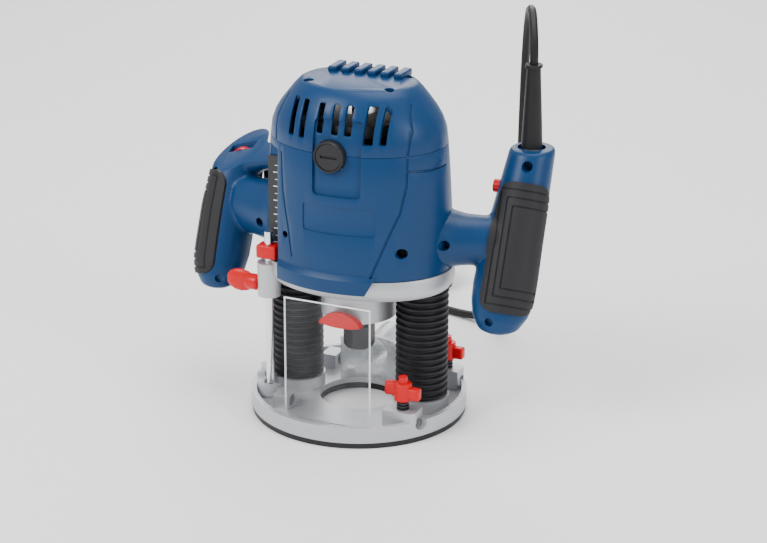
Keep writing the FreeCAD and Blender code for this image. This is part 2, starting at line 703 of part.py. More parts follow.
def cord_tube():
    """Straight runs joined by arcs, each as large as its two runs allow."""
    points = [V(*p) for p in CORD_ROUTE]
    edges, radii = [], []
    last = points[0]
    for before, corner, after in zip(points, points[1:], points[2:]):
        into, out = corner - before, after - corner
        run = min(into.Length, out.Length)
        turn = into.getAngle(out)
        back = 0.45 * run
        radii.append(round(back / math.tan(turn / 2), 1))
        start = corner - into.normalize() * back
        end = corner + out.normalize() * back
        middle = V(out - into).normalize()
        centre_way = radii[-1] / math.cos(turn / 2) - radii[-1]
        edges.append(Part.LineSegment(last, start).toShape())
        edges.append(Part.Arc(start, corner + middle * centre_way, end).toShape())
        last = end
    edges.append(Part.LineSegment(last, points[-1]).toShape())
    path = Part.Wire(edges)
    ring = Part.Circle(points[0], points[1] - points[0], CORD_R)
    solid = path.makePipeShell([Part.Wire([ring.toShape()])], True, False)
    print("cord radii", radii)
    print("cord volume", round(solid.Volume, 1), "section x length", round(math.pi * CORD_R ** 2 * path.Length, 1))
    print("cord tube length", round(path.Length, 1))
    return solid


def cord_coil():
    inner, outer = COIL_R - COIL_HALF, COIL_R + COIL_HALF
    return tube(outer, inner, 0.0, COIL_TOP, COIL_X, COIL_Y)


def cord_tie():
    x = COIL_X + COIL_R
    band = box((x - 11.4, x + 11.4), (COIL_Y - 5, COIL_Y + 5), (0.0, COIL_TOP + 1.6))
    return band.cut(tube(COIL_R + COIL_HALF, COIL_R - COIL_HALF, -1.0, COIL_TOP, COIL_X, COIL_Y))


def plug():
    """A flat two-pin plug that lies on the coil, with its pins to the left."""
    z = COIL_TOP + 8.0
    pieces = [box((COIL_X - 22.0, COIL_X + 12.0), (COIL_Y - 17.0, COIL_Y + 17.0), (COIL_TOP, COIL_TOP + 16.0))]
    pieces.append(rod((COIL_X + 10.0, COIL_Y, z), (COIL_X + 34.0, COIL_Y, z), 4.5))
    for y in (-9.5, 9.5):
        pieces.append(rod((COIL_X - 21.0, COIL_Y + y, z), (COIL_X - 41.0, COIL_Y + y, z), 2.0))
    return fuse(pieces)


def check(name, shape):
    solids = len(shape.Solids)
    print("%-22s %2d %9.0f" % (name, solids, shape.Volume))
    if not shape.isValid() or solids < 1:
        print("PROBLEM", name, "valid", shape.isValid(), "solids", solids)
    return shape


def main():
    os.makedirs("parts", exist_ok=True)
    right_front, right_back = right_handle()
    left_front, left_back = left_handle()
    nodes = {
        "base_plate": base_plate(), "base_sole": base_sole(), "sole_screws": sole_screws(),
        "guide_columns": Part.makeCompound([guide_column(-1), guide_column(1)]),
        "bellows": Part.makeCompound([bellows(-1), bellows(1)]),
        "return_springs": Part.makeCompound([return_spring(-1), return_spring(1)]),
        "dust_adapter": dust_adapter(), "dust_adapter_screws": dust_adapter_screws(),
        "front_clamp_knob": clamp_knob(-1), "front_clamp_stud": clamp_stud(-1),
        "rear_clamp_knob": clamp_knob(1), "rear_clamp_stud": clamp_stud(1),
        "step_turret": step_turret(), "turret_screw": turret_screw(), "chip_guard": chip_guard(),
        "drive_housing": drive_housing(), "lower_bearing": lower_bearing(),
        "guide_bushes": Part.makeCompound([guide_bush(-1), guide_bush(1)]),
        "upper_bearing": upper_bearing(), "bearing_carrier": bearing_carrier(),
        "spindle_shaft": spindle_shaft(), "collet": collet(), "collet_nut": collet_nut(),
        "rotor_core": rotor_core(), "rotor_windings": rotor_windings(), "commutator": commutator(),
        "cooling_fan": fan(), "stator_core": stator_core(), "field_windings": field_windings(),
        "brush_holders": brush_holders(), "carbon_brushes": carbon_brushes(),
        "brush_caps": brush_caps(), "motor_housing": motor_housing(), "top_cap": top_cap(),
        "cap_screws": cap_screws(), "right_handle_front": right_front,
        "right_handle_back": right_back, "left_handle_front": left_front,
        "left_handle_back": left_back, "depth_rod": depth_rod(), "index_slider": index_slider(),
        "depth_clamp_stud": depth_clamp_stud(), "depth_clamp_knob": depth_clamp_knob(),
        "depth_scale": depth_scale(), "spindle_lock_button": spindle_lock_button(),
        "spindle_lock_pin": spindle_lock_pin(), "cord_guard": cord_guard(), "cord_tube": cord_tube(),
        "cord_coil": cord_coil(), "cord_tie": cord_tie(), "mains_plug": plug(),
        "switch_module": switch_module(), "control_board": control_board(),
        "right_soft_grip": soft_grip(RIGHT_SECTIONS, RIGHT_ARM, -53.0, 84.0, 164.0),
        "left_soft_grip": soft_grip(LEFT_SECTIONS, LEFT_ARM, -153.0, 84.0, 142.0),
        "trigger": trigger(), "lock_on_button": lock_on_button(), "speed_dial": speed_dial(),
        "plunge_lock_lever": plunge_lock_lever(), "plunge_lever_pin": plunge_lever_pin(),
    }
    for name, shape in nodes.items():
        check(name, shape).exportStep("parts/" + name + ".step")
    print(len(nodes), "nodes")


main()
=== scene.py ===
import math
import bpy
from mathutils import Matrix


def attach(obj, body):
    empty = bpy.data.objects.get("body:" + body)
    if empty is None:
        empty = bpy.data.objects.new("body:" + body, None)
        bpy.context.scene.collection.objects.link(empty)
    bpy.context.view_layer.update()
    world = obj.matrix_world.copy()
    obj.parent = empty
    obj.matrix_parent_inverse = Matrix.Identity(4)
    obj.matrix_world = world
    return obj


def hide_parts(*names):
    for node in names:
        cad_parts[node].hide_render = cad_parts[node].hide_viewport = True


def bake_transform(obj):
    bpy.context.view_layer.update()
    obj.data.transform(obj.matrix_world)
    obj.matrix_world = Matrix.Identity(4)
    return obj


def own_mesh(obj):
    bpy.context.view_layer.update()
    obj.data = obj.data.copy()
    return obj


bl_info = {
    "name": "Plunge router",
    "version": (1, 0, 0),
    "blender": (4, 2, 0),
    "location": "3D View > Sidebar > Router",
    "description": "Builds the looks of a plunge router around its packed frame",
    "category": "Object",
}

import bmesh
import bpy
from mathutils import Matrix, Vector

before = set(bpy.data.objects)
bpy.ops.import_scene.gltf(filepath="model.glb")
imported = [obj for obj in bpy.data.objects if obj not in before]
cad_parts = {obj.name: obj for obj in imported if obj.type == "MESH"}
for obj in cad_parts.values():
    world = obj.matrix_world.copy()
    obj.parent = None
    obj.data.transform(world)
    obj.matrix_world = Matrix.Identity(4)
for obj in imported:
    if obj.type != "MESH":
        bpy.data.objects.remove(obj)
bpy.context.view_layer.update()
MM = 0.001

# the motor housing and its cap, in mm: height, half width and half depth of each ring
HOUSING_RINGS = ((110.3, 65.8, 48.6), (116, 65.8, 48.9), (150, 65.0, 49.4), (176, 63.4, 49.0),
                 (196, 61.8, 48.1))
CAP_RINGS = ((196.3, 61.8, 48.1), (206, 60.6, 47.2), (213, 58.0, 45.3), (219, 54.2, 43.2), (225, 49.4, 40.2),
             (230.5, 45.0, 36.6), (234.4, 41.2, 33.0), (236, 38.0, 30.0))
# handles: height, centre x, half width and half depth
RIGHT_RINGS = ((73.5, 103.8, 8.0, 7.0), (76, 103.7, 14.0, 12.5), (84.0, 103.6, 19.2, 17.2),
               (93, 103.4, 21.2, 19.2), (104.0, 103.3, 21.7, 19.7), (116, 103.6, 21.1, 19.4),
               (128.0, 104.0, 20.2, 18.9), (142, 104.7, 19.2, 18.4), (155.0, 105.5, 18.2, 17.9),
               (172, 106.5, 16.8, 17.0), (187.0, 107.4, 15.6, 16.0), (189.0, 107.5, 14.6, 15.0))
LEFT_RINGS = ((73.5, -107.0, 8.0, 7.0), (76, -107.2, 12.5, 12.5), (84.0, -107.5, 17.4, 17.0),
              (93, -107.7, 19.2, 19.0), (104.0, -107.8, 19.4, 19.5), (116, -107.8, 19.4, 19.8),
              (128.0, -107.8, 19.4, 20.0), (150.0, -107.0, 18.2, 19.8), (166.0, -106.0, 17.0, 18.8),
              (184.0, -104.6, 16.0, 17.5))
RIGHT_ARM = ((44, 4, 131, 32, 31), (54, 5, 130, 26, 26), (62, 7, 129.7, 21.5, 20), (72, 10, 129.5, 18, 17.8),
             (84, 14, 129.5, 16.5, 17), (98, 18, 129.5, 16, 17.5))
LEFT_ARM = ((-44, 4, 132, 32, 31), (-56, 5, 131.5, 25.5, 25.5), (-68, 8, 131, 21, 21.5),
            (-84, 13, 130.5, 18.5, 20), (-98, 18, 130, 17, 20))
LEFT_BRIDGE = ((-44, 20, 165, 15, 7.5), (-60, 24, 164.5, 14, 7.5), (-80, 28, 163, 15, 9),
               (-98, 31, 158, 15, 12))
LEFT_TOP = (-108.0, 33.0, 162.0)
LEFT_TOP_SLOPE = (0.32, 0.38)
# how far the handles lean back, in mm: from LEAN_FROM up, LEAN_RUN for each LEAN_RISE
LEAN_RUN = 51.0
LEAN_RISE = 119.0
LEAN = math.atan2(LEAN_RUN, LEAN_RISE)
LEAN_SLOPE = LEAN_RUN / LEAN_RISE
LEAN_FROM = (-6.0, 70.0)
WALL = 3.0
SKIN_SIDES = 96
# grip grooves: half width, length past the handle and depth of skin left under them, in mm
SLOT_HALF = 0.6
SLOT_REACH = 60
SLOT_DEPTH = 0.75
# least share of a pad that one groove may leave, and least volume of a finished pad in cubic metres
SLOT_KEEPS = 0.97
PAD_LEAST = 2e-5
# how strongly metals and plastics mirror the studio
METAL_SHINE = 0.5
SOFT_SHINE = 0.25
# places shared by several pieces, in mm
GUARD_AT = (106.5, 45.0)
BRUSH_AT = (0, 195)
DEPTH_ROD_AT = (-54, -30)
CLAMP_X = 50
COLUMN_X = 47.0
SPRING_R = 9.5
SPRING_TURNS = 10
SPRING_STEPS = 200

# mains lead, in metres
CORD_LENGTH = 2.5
CORD_ROUTE = ((106.5, 45, 233), (106.5, 45, 246), (106.5, 45, 258), (99.3, 61, 275.5), (88.9, 84.2, 275.3),
              (81.2, 101, 256.5), (75.5, 113.5, 221), (71.5, 122.5, 170), (68, 131, 118), (64.5, 139, 76),
              (59.8, 148, 45), (52.5, 159, 22.5), (37, 169.5, 9), (12, 178.5, 3.2), (-15, 184.3, 3.2),
              (-42, 186.9, 3.2), (-62, 187.3, 3.2))
COIL_CENTRE = (-78.0, 234.0)
COIL_RADII = (46.7, 40.3, 33.9)
COIL_LEVELS = (3.2, 9.6, 16.0, 22.4)
# turns of the coil in degrees: where each change starts, then the radius and the level after it
COIL_CHANGES = ((310, 1, 0), (670, 2, 0), (970, 2, 1), (1275, 1, 1), (1635, 0, 1), (1940, 0, 2), (2245, 1, 2),
                (2605, 2, 2), (2658, 2, 3))
CHANGE_SPAN = 50.0
COIL_END = 2712.0
TAIL = ((-60, 268, 24.6), (-38, 262, 27.0), (-22, 252, 27.2), (-16, 241, 27.2), (-22, 234.4, 27.2),
        (-34, 234, 27.2), (-46, 234, 27.2))


class Value:
    """A socket that can be added, multiplied and so on, each step making a Math node."""

    def __init__(self, finish, socket):
        self.finish = finish
        self.socket = socket

    def step(self, operation, *others):
        node = self.finish.tree.nodes.new("ShaderNodeMath")
        node.operation = operation
        for slot, item in zip(node.inputs, others):
            if isinstance(item, Value):
                self.finish.tree.links.new(item.socket, slot)
            else:
                slot.default_value = item
        return Value(self.finish, node.outputs[0])

    def __add__(self, other):
        return self.step("ADD", self, other)

    def __radd__(self, other):
        return self.step("ADD", other, self)

    def __sub__(self, other):
        return self.step("SUBTRACT", self, other)

    def __mul__(self, other):
        return self.step("MULTIPLY", self, other)

    def __rmul__(self, other):
        return self.step("MULTIPLY", other, self)

    def __lt__(self, other):
        return self.step("LESS_THAN", self, other)

    def __gt__(self, other):
        return self.step("GREATER_THAN", self, other)

    def __mod__(self, other):
        return self.step("FLOORED_MODULO", self, other)


class Finish:
    """One material, built node by node around its Principled shader."""

    def __init__(self, name):
        self.material = bpy.data.materials.new(name)
        self.material.use_nodes = True
        self.tree = self.material.node_tree
        self.shader = self.tree.nodes["Principled BSDF"]

    def node(self, kind, **values):
        node = self.tree.nodes.new(kind)
        for key, value in values.items():
            self.feed(node, key.replace("_", " "), value)
        return node

    def feed(self, node, name, value):
        slot = node.inputs[name]
        if isinstance(value, Value):
            self.tree.links.new(value.socket, slot)
        elif isinstance(value, bpy.types.NodeSocket):
            self.tree.links.new(value, slot)
        else:
            slot.default_value = value

    def set(self, **values):
        for key, value in values.items():
            self.feed(self.shader, key.replace("_", " "), value)

    def place(self):
        return self.node("ShaderNodeTexCoord").outputs["Object"]

    def split(self):
        outputs = self.node("ShaderNodeSeparateXYZ", Vector=self.place()).outputs
        return [Value(self, outputs[k]) for k in range(3)]

    def noise(self, scale, detail=2.0, stretch=(1, 1, 1)):
        turned = self.node("ShaderNodeMapping", Vector=self.place(), Scale=stretch)
        grain = self.node("ShaderNodeTexNoise", Vector=turned.outputs[0], Scale=scale, Detail=detail)
        return Value(self, grain.outputs["Fac"])

    def mix(self, factor, first, second):
        node = self.tree.nodes.new("ShaderNodeMix")
        node.data_type = "RGBA"
        for slot, item in ((node.inputs[0], factor), (node.inputs[6], first), (node.inputs[7], second)):
            if isinstance(item, Value):
                self.tree.links.new(item.socket, slot)
            elif isinstance(item, bpy.types.NodeSocket):
                self.tree.links.new(item, slot)
            else:
                slot.default_value = item
        return node.outputs[2]

    def bump(self, height, strength, distance):
        node = self.node("ShaderNodeBump", Strength=strength, Distance=distance, Height=height)
        self.set(Normal=node.outputs["Normal"])


FINISHES = {}


def shaded(name, colour, rough, metal=0.0, grain=900.0, depth=0.0, vary=0.06, stretch=(1, 1, 1)):
    """A plain finish whose colour and roughness drift a little, with an optional fine grain."""
    finish = Finish(name)
    drift = finish.noise(38.0, 3.0)
    darker = tuple(c * (1.0 - vary) for c in colour) + (1.0,)
    lighter = tuple(min(1.0, c * (1.0 + vary)) for c in colour) + (1.0,)
    finish.set(Base_Color=finish.mix(drift, darker, lighter))
    finish.set(Roughness=rough + (drift - 0.5) * 0.12)
    finish.set(Metallic=metal, Specular_IOR_Level=METAL_SHINE if metal else SOFT_SHINE)
    if depth:
        finish.bump(finish.noise(grain, 2.0, stretch), 0.35, depth)
    FINISHES[name] = finish.material


def clear_finish(name, tint, rough, cover, ripple):
    """See-through plastic: cover is how much of what lies behind it hides."""
    finish = Finish(name)
    swirl = finish.noise(70.0, 4.0, (1, 1, 0.5))
    finish.set(Base_Color=tint + (1.0,), Roughness=rough + swirl * 0.06, Coat_Weight=1.0)
    finish.set(Alpha=(0.15 + swirl * 1.7) * cover)
    if ripple:
        finish.bump(swirl, 0.8, ripple)
    FINISHES[name] = finish.material


def scale_finish():
    """Black strip with a white tick every five millimetres, longer every second one."""
    finish = Finish("scale_strip")
    x, y, z = finish.split()
    fine = (z % 0.005) < 0.0005
    coarse = (z % 0.010) < 0.0007
    inner = x > -0.0520
    outer = x > -0.0532
    ticks = fine * inner + coarse * outer
    shown = ticks * (x < -0.0497) * (z > 0.116) * (z < 0.179)
    finish.set(Base_Color=finish.mix(shown, (0.02, 0.02, 0.022, 1), (0.85, 0.86, 0.86, 1)))
    finish.set(Roughness=0.45 + finish.noise(60.0) * 0.1)
    FINISHES["scale_strip"] = finish.material


# ---- modelling steps ----

def clear_selection():
    if bpy.context.mode != "OBJECT":
        bpy.ops.object.mode_set(mode="OBJECT")
    bpy.ops.object.select_all(action="DESELECT")


def pick(piece):
    clear_selection()
    piece.select_set(True)
    bpy.context.view_layer.objects.active = piece
    return piece


def named(name):
    piece = bpy.context.object
    piece.name = name
    piece.data.name = name
    return piece


def settle(piece):
    pick(piece)
    bpy.ops.object.transform_apply(location=True, rotation=True, scale=True)
    return piece


def finish_with(piece, kind, **settings):
    """Adds a modifier and applies it."""
    pick(piece)
    modifier = piece.modifiers.new(kind, kind)
    for key, value in settings.items():
        setattr(modifier, key, value)
    bpy.ops.object.modifier_apply(modifier=modifier.name)
    return piece


def bevelled(piece, width, segments=3, angle=35.0):
    return finish_with(piece, "BEVEL", width=width * MM, segments=segments, limit_method="ANGLE",
                       angle_limit=math.radians(angle))


def cut(piece, cutter, operation="DIFFERENCE"):
    finish_with(piece, "BOOLEAN", object=cutter, operation=operation, solver="EXACT")
    bpy.data.objects.remove(cutter)
    return piece


def joined(name, pieces):
    clear_selection()
    for piece in pieces:
        piece.select_set(True)
    bpy.context.view_layer.objects.active = pieces[0]
    bpy.ops.object.join()
    return named(name)


def copied(piece, name):
    copy = piece.copy()
    copy.data = piece.data.copy()
    copy.name = name
    bpy.context.collection.objects.link(copy)
    return copy


def smooth(piece, angle=32.0):
    pick(piece)
    bpy.ops.object.shade_smooth_by_angle(angle=math.radians(angle))
    return piece


def dressed(piece, finish, body, replaces=()):
    """The piece gets its finish, rides on its body and stands for its CAD nodes."""
    smooth(piece)
    piece.data.materials.clear()
    piece.data.materials.append(FINISHES[finish])
    if replaces:
        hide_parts(*replaces)
    if body:
        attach(piece, body)
    return piece


TURNS = {"X": (0, math.pi / 2, 0), "Y": (math.pi / 2, 0, 0), "Z": (0, 0, 0)}


def spread(axis, a, b):
    if axis == "X":
        return (1, a, b)
    if axis == "Y":
        return (a, 1, b)
    return (a, b, 1)


def lofted(name, rings, sides=48, axis="Z"):
    """A closed skin extruded from oval ring to oval ring: (x, y, z, half size, other half size) in mm."""
    clear_selection()
    x, y, z, a, b = (v * MM for v in rings[0])
    bpy.ops.mesh.primitive_circle_add(vertices=sides, radius=1.0, fill_type="NGON", location=(x, y, z),
                                      rotation=TURNS[axis])
    piece = settle(named(name))
    bpy.ops.object.mode_set(mode="EDIT")
    bpy.ops.mesh.select_all(action="SELECT")
    bpy.ops.transform.resize(value=spread(axis, a, b), center_override=(x, y, z))
    for ring in rings[1:]:
        x1, y1, z1, a1, b1 = (v * MM for v in ring)
        bpy.ops.mesh.extrude_region_move(TRANSFORM_OT_translate={"value": (x1 - x, y1 - y, z1 - z)})
        bpy.ops.transform.resize(value=spread(axis, a1 / a, b1 / b), center_override=(x1, y1, z1))
        x, y, z, a, b = x1, y1, z1, a1, b1
    bpy.ops.mesh.select_all(action="SELECT")
    bpy.ops.mesh.normals_make_consistent(inside=False)
    bpy.ops.object.mode_set(mode="OBJECT")
    return piece


def turned(name, profile, at=(0, 0), sides=40, axis="Z"):
    """A round piece: (place along the axis, radius) steps in mm, at the other two coordinates."""
    rings = []
    for along, radius in profile:
        if axis == "Z":
            rings.append((at[0], at[1], along, radius, radius))
        elif axis == "X":
            rings.append((along, at[0], at[1], radius, radius))
        else:
            rings.append((at[0], along, at[1], radius, radius))
    return lofted(name, rings, sides, axis)


def block(name, x, y, z, round_edges=0.0, turn=(0, 0, 0), segments=3):
    clear_selection()
    size = ((x[1] - x[0]) * MM, (y[1] - y[0]) * MM, (z[1] - z[0]) * MM)
    middle = ((x[0] + x[1]) * MM / 2, (y[0] + y[1]) * MM / 2, (z[0] + z[1]) * MM / 2)
    bpy.ops.mesh.primitive_cube_add(size=1.0, location=middle, rotation=turn, scale=size)
    piece = settle(named(name))
    if round_edges:
        bevelled(piece, round_edges, segments)
    return piece


def wire(name, points, radius):
    """A round bar along straight runs, in mm."""
    line = bpy.data.curves.new(name, "CURVE")
    line.dimensions = "3D"
    line.bevel_depth = radius * MM
    line.bevel_resolution = 2
    line.use_fill_caps = True
    spline = line.splines.new("POLY")
    spline.points.add(len(points) - 1)
    for point, place in zip(spline.points, points):
        point.co = (place[0] * MM, place[1] * MM, place[2] * MM, 1.0)
    piece = bpy.data.objects.new(name, line)
    bpy.context.collection.objects.link(piece)
    pick(piece)
    bpy.ops.object.convert(target="MESH")
    return bpy.context.object


def lean_y(z):
    return LEAN_FROM[0] + (z - LEAN_FROM[1]) * LEAN_SLOPE


def upright(rings, inset=0.0):
    return [(0, 0, z, a - inset, b - inset) for z, a, b in rings]


def front_of(x, z):
    """How far forward the motor housing's skin is at x and z, in mm."""
    rings = HOUSING_RINGS + CAP_RINGS
    for low, high in zip(rings, rings[1:]):
        if low[0] <= z <= high[0]:
            t = (z - low[0]) / (high[0] - low[0])
            a = low[1] + t * (high[1] - low[1])
            b = low[2] + t * (high[2] - low[2])
            return -b * math.sqrt(max(0.0, 1.0 - (x / a) ** 2))
    return 0.0


def groove(piece, corners, radius=0.9, side=1):
    """Cuts a seam line along corners given as x and z on the front skin, or the rear at side -1."""
    points = []
    for start, end in zip(corners, corners[1:]):
        steps = max(2, int(math.dist(start, end) / 3.0))
        for k in range(steps):
            t = k / steps
            x, z = start[0] + t * (end[0] - start[0]), start[1] + t * (end[1] - start[1])
            points.append((x, side * front_of(x, z), z))
    x, z = corners[-1]
    points.append((x, side * front_of(x, z), z))
    return cut(piece, wire("seam", points, radius))


def pocket(piece, x, z, depth, corner=3.0):
    """A shallow recess in the front skin."""
    cutter = block("pocket", x, (-70, -10), z, corner)
    keep = lofted("pocket_floor", upright(HOUSING_RINGS[:-1] + CAP_RINGS, depth), SKIN_SIDES)
    cut(cutter, keep)
    return cut(piece, cutter)


def drilled(piece, x, y, z, radius, axis="Y", depth=6.0):
    """A round screw well, deep enough to look dark."""
    if axis == "Y":
        well = turned("well", ((y - depth, radius), (y + depth, radius)), (x, z), 24, "Y")
    else:
        well = turned("well", ((z - depth, radius), (z + depth, radius)), (x, y), 24)
    return cut(piece, well)


# ---- sizes and colours that a user would change ----

class RouterColours(bpy.types.PropertyGroup):
    housing: bpy.props.FloatVectorProperty(name="Housing", subtype="COLOR", default=(0.0015, 0.036, 0.118),
                                           description="Colour of the motor housing and handles")
    red: bpy.props.FloatVectorProperty(name="Controls", subtype="COLOR", default=(0.60, 0.002, 0.006),
                                       description="Colour of knobs, buttons and the trigger")
    cast: bpy.props.FloatVectorProperty(name="Castings", description="Colour of the base and drive housing",
                                        subtype="COLOR", default=(0.50, 0.51, 0.53))
    grip: bpy.props.FloatVectorProperty(name="Grip", description="Colour of the soft grips",
                                        subtype="COLOR", default=(0.018, 0.018, 0.02))


class RouterSizes(bpy.types.PropertyGroup):
    cord_length: bpy.props.FloatProperty(name="Cord length", description="Real length of the mains lead",
                                         default=CORD_LENGTH, unit="LENGTH")
    cord_width: bpy.props.FloatProperty(name="Cord diameter", default=0.006, unit="LENGTH",
                                        description="Outside diameter of the mains lead")
    grip_proud: bpy.props.FloatProperty(name="Grip height", description="How far the grips stand out, in mm",
                                        default=1.3)
    folds: bpy.props.IntProperty(name="Folds", description="Folds of each bellows", default=17)


class Step:
    bl_options = {"REGISTER"}


class ROUTER_OT_finishes(Step, bpy.types.Operator):
    """Makes the finishes"""
    bl_idname = "router.finishes"
    bl_label = "Finishes"

    def execute(self, context):
        colours = context.scene.router_colours
        shaded("blue_plastic", tuple(colours.housing), 0.36, grain=2600.0, depth=0.00012)
        shaded("red_plastic", tuple(colours.red), 0.3)
        shaded("cast_aluminium", tuple(colours.cast), 0.42, 0.55, 1700.0, 0.00015)
        shaded("steel", (0.6, 0.61, 0.63), 0.28, 1.0, 700.0, 0.00003, stretch=(1, 1, 8))
        shaded("chrome_rod", (0.82, 0.83, 0.85), 0.12, 1.0)
        shaded("black_oxide", (0.045, 0.045, 0.05), 0.34, 0.6, 900.0, 0.00004)
        shaded("bronze", (0.6, 0.42, 0.2), 0.35, 1.0)
        shaded("sole_plastic", (0.02, 0.02, 0.022), 0.4)
        shaded("bellows_rubber", (0.014, 0.014, 0.016), 0.46, vary=0.15)
        shaded("grey_plastic", (0.55, 0.57, 0.6), 0.4, 0.1)
        shaded("black_plastic", (0.018, 0.018, 0.02), 0.38)
        shaded("soft_grip", tuple(colours.grip), 0.55, grain=3000.0, depth=0.0002, vary=0.12)
        shaded("copper", (0.62, 0.26, 0.1), 0.35, 1.0, 1200.0, 0.0003, stretch=(1, 1, 6))
        shaded("laminations", (0.2, 0.2, 0.21), 0.45, 0.9, 900.0, 0.0002, stretch=(0.1, 0.1, 8))
        shaded("carbon", (0.03, 0.03, 0.03), 0.6)
        shaded("circuit_board", (0.02, 0.16, 0.06), 0.4)
        shaded("cord_rubber", (0.012, 0.012, 0.013), 0.48, vary=0.12)
        shaded("floor", (0.93, 0.93, 0.93), 0.7, vary=0.005)
        clear_finish("clear_plastic", (0.55, 0.58, 0.60), 0.1, 0.025, 0.0)
        # painted highlight: a near-white, mostly opaque finish for the light caught along the clear guard's
        # edges
        clear_finish("edge_highlight", (0.92, 0.95, 0.97), 0.2, 0.7, 0.0)
        clear_finish("rippled_clear", (0.62, 0.66, 0.69), 0.12, 0.55, 0.006)
        scale_finish()
        return {"FINISHED"}


# name, place and size in metres, and power of each lamp
LIGHTS = (("key", (-1.0, -1.3, 1.5), 0.9, 34.0), ("fill", (1.8, -0.5, 1.0), 0.7, 13.0),
          ("top", (0.2, 0.3, 1.9), 1.3, 30.0), ("back", (-0.6, 1.6, 1.0), 1.0, 12.0))
LOOK_AT = (0, 0, 0.12)
CAMERA_AT = (0.578, -1.286, 0.632)
CAMERA_LENS = 103.2
CAMERA_SENSOR = 36.0
CAMERA_SHIFT = (0.0316, -0.0381)
FLOOR_SIZE = 12.0
SKY = 0.7


class ROUTER_OT_stage(Step, bpy.types.Operator):
    """Camera, floor and soft studio light"""
    bl_idname = "router.stage"
    bl_label = "Stage"

    def execute(self, context):
        scene = context.scene
        data = bpy.data.cameras.new("camera")
        camera = bpy.data.objects.new("camera", data)
        scene.collection.objects.link(camera)
        camera.location = CAMERA_AT
        aim = Vector(LOOK_AT) - camera.location
        camera.rotation_euler = aim.to_track_quat("-Z", "Y").to_euler()
        data.lens = CAMERA_LENS
        data.sensor_width = CAMERA_SENSOR
        data.shift_x = CAMERA_SHIFT[0]
        data.shift_y = CAMERA_SHIFT[1]
        data.dof.use_dof = False
        scene.camera = camera
        clear_selection()
        bpy.ops.mesh.primitive_plane_add(size=FLOOR_SIZE, location=(0, 0, 0))
        floor = named("floor")
        floor.data.materials.append(FINISHES["floor"])
        for name, place, size, power in LIGHTS:
            light = bpy.data.lights.new(name, "AREA")
            light.energy = power
            light.size = size
            lamp = bpy.data.objects.new(name, light)
            scene.collection.objects.link(lamp)
            lamp.location = place
            lamp.rotation_euler = (Vector(LOOK_AT) - Vector(place)).to_track_quat("-Z", "Y").to_euler()
        world = bpy.data.worlds.new("studio")
        world.use_nodes = True
        world.node_tree.nodes["Background"].inputs[0].default_value = (1, 1, 1, 1)
        world.node_tree.nodes["Background"].inputs[1].default_value = SKY
        scene.world = world
        return {"FINISHED"}


def coil_points():
    """The lead's turns inside the tied bundle, going clockwise from its near side."""
    points = []
    count = int(COIL_END // 12)
    for k in range(count + 1):
        s = COIL_END * k / count
        radius, level = COIL_RADII[0], COIL_LEVELS[0]
        for start, ring, row in COIL_CHANGES:
            t = min(1.0, max(0.0, (s - start) / CHANGE_SPAN))
            t = t * t * (3 - 2 * t)
            radius += t * (COIL_RADII[ring] - radius)
            level += t * (COIL_LEVELS[row] - level)
        angle = math.radians(-90.0 - s)
        x = COIL_CENTRE[0] + radius * math.cos(angle)
        y = COIL_CENTRE[1] + radius * math.sin(angle)
        points.append((x, y, level))
    return points


class ROUTER_OT_cord(Step, bpy.types.Operator):
    """The mains lead, its tied coil and the plug"""
    bl_idname = "router.cord"
    bl_label = "Mains lead"

    def execute(self, context):
        sizes = context.scene.router_sizes
        route = list(CORD_ROUTE) + coil_points() + list(TAIL)
        line = bpy.data.curves.new("lead_line", "CURVE")
        line.dimensions = "3D"
        line.resolution_u = 6
        spline = line.splines.new("NURBS")
        spline.points.add(len(route) - 1)
        for point, place in zip(spline.points, route):
            point.co = (place[0] * MM, place[1] * MM, place[2] * MM, 1.0)
        spline.order_u = 3
        spline.use_endpoint_u = True
        guide = bpy.data.objects.new("lead_line", line)
        context.collection.objects.link(guide)
        context.view_layer.update()
        graph = context.evaluated_depsgraph_get()
        mesh = bpy.data.meshes.new_from_object(guide.evaluated_get(graph))
        path = [tuple(v.co) for v in mesh.vertices]
        bpy.data.meshes.remove(mesh)
        bpy.data.objects.remove(guide)
        radius = sizes.cord_width / 2 / MM
        cord = wire("mains_lead", [tuple(c / MM for c in p) for p in path], radius)
        cord.name = "mains_lead"
        dressed(cord, "cord_rubber", None, ("cord_tube", "cord_coil"))
        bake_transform(cord)
        plug = self.plug()
        return {"FINISHED"}

    def plug(self):
        x, y = COIL_CENTRE
        z = 27.2
        body = block("plug_body", (x - 22, x + 12), (y - 17, y + 17), (z - 7.6, z + 8), 3.5, segments=4)
        boot = turned("boot", ((x + 8, 7.5), (x + 14, 6.4), (x + 24, 5.2), (x + 34, 4.2)), (y, z), 24, "X")
        flutes = [turned("flute", ((x + k, 6.9), (x + k + 1.6, 6.9)), (y, z), 24, "X") for k in (14.5, 18.5)]
        body = joined("mains_plug_body", [body, boot] + flutes)
        dressed(body, "cord_rubber", "base", ("mains_plug",))
        pins = []
        for side in (-9.5, 9.5):
            shank = ((x - 20, 2.0), (x - 40, 2.0), (x - 40.8, 1.2))
            pins.append(turned("pin", shank, (y + side, z), 20, "X"))
        dressed(joined("mains_plug_pins", pins), "steel", "base")
        return body


def handle_body(name, rings, *arms):
    """A handle and its arms in one skin, with the corners between them filled softly."""
    stem = lofted("stem", [(x, lean_y(z), z, a, b) for z, x, a, b in rings], 40)
    whole = joined(name, [stem] + [lofted("link", arm, 40, "X") for arm in arms])
    finish_with(whole, "REMESH", mode="VOXEL", voxel_size=1.25 * MM)
    finish_with(whole, "SMOOTH", factor=0.5, iterations=9)
    return whole


def leaning_block(name, at, turn, out, along_y, along_z, round_edges=0.0):
    """A block in a grip's own directions: outwards, across and along the handle, in mm from its centre."""
    piece = block(name, out, along_y, along_z, round_edges, segments=5)
    piece.matrix_world = Matrix.Translation(Vector(at) * MM) @ turn
    return settle(piece)


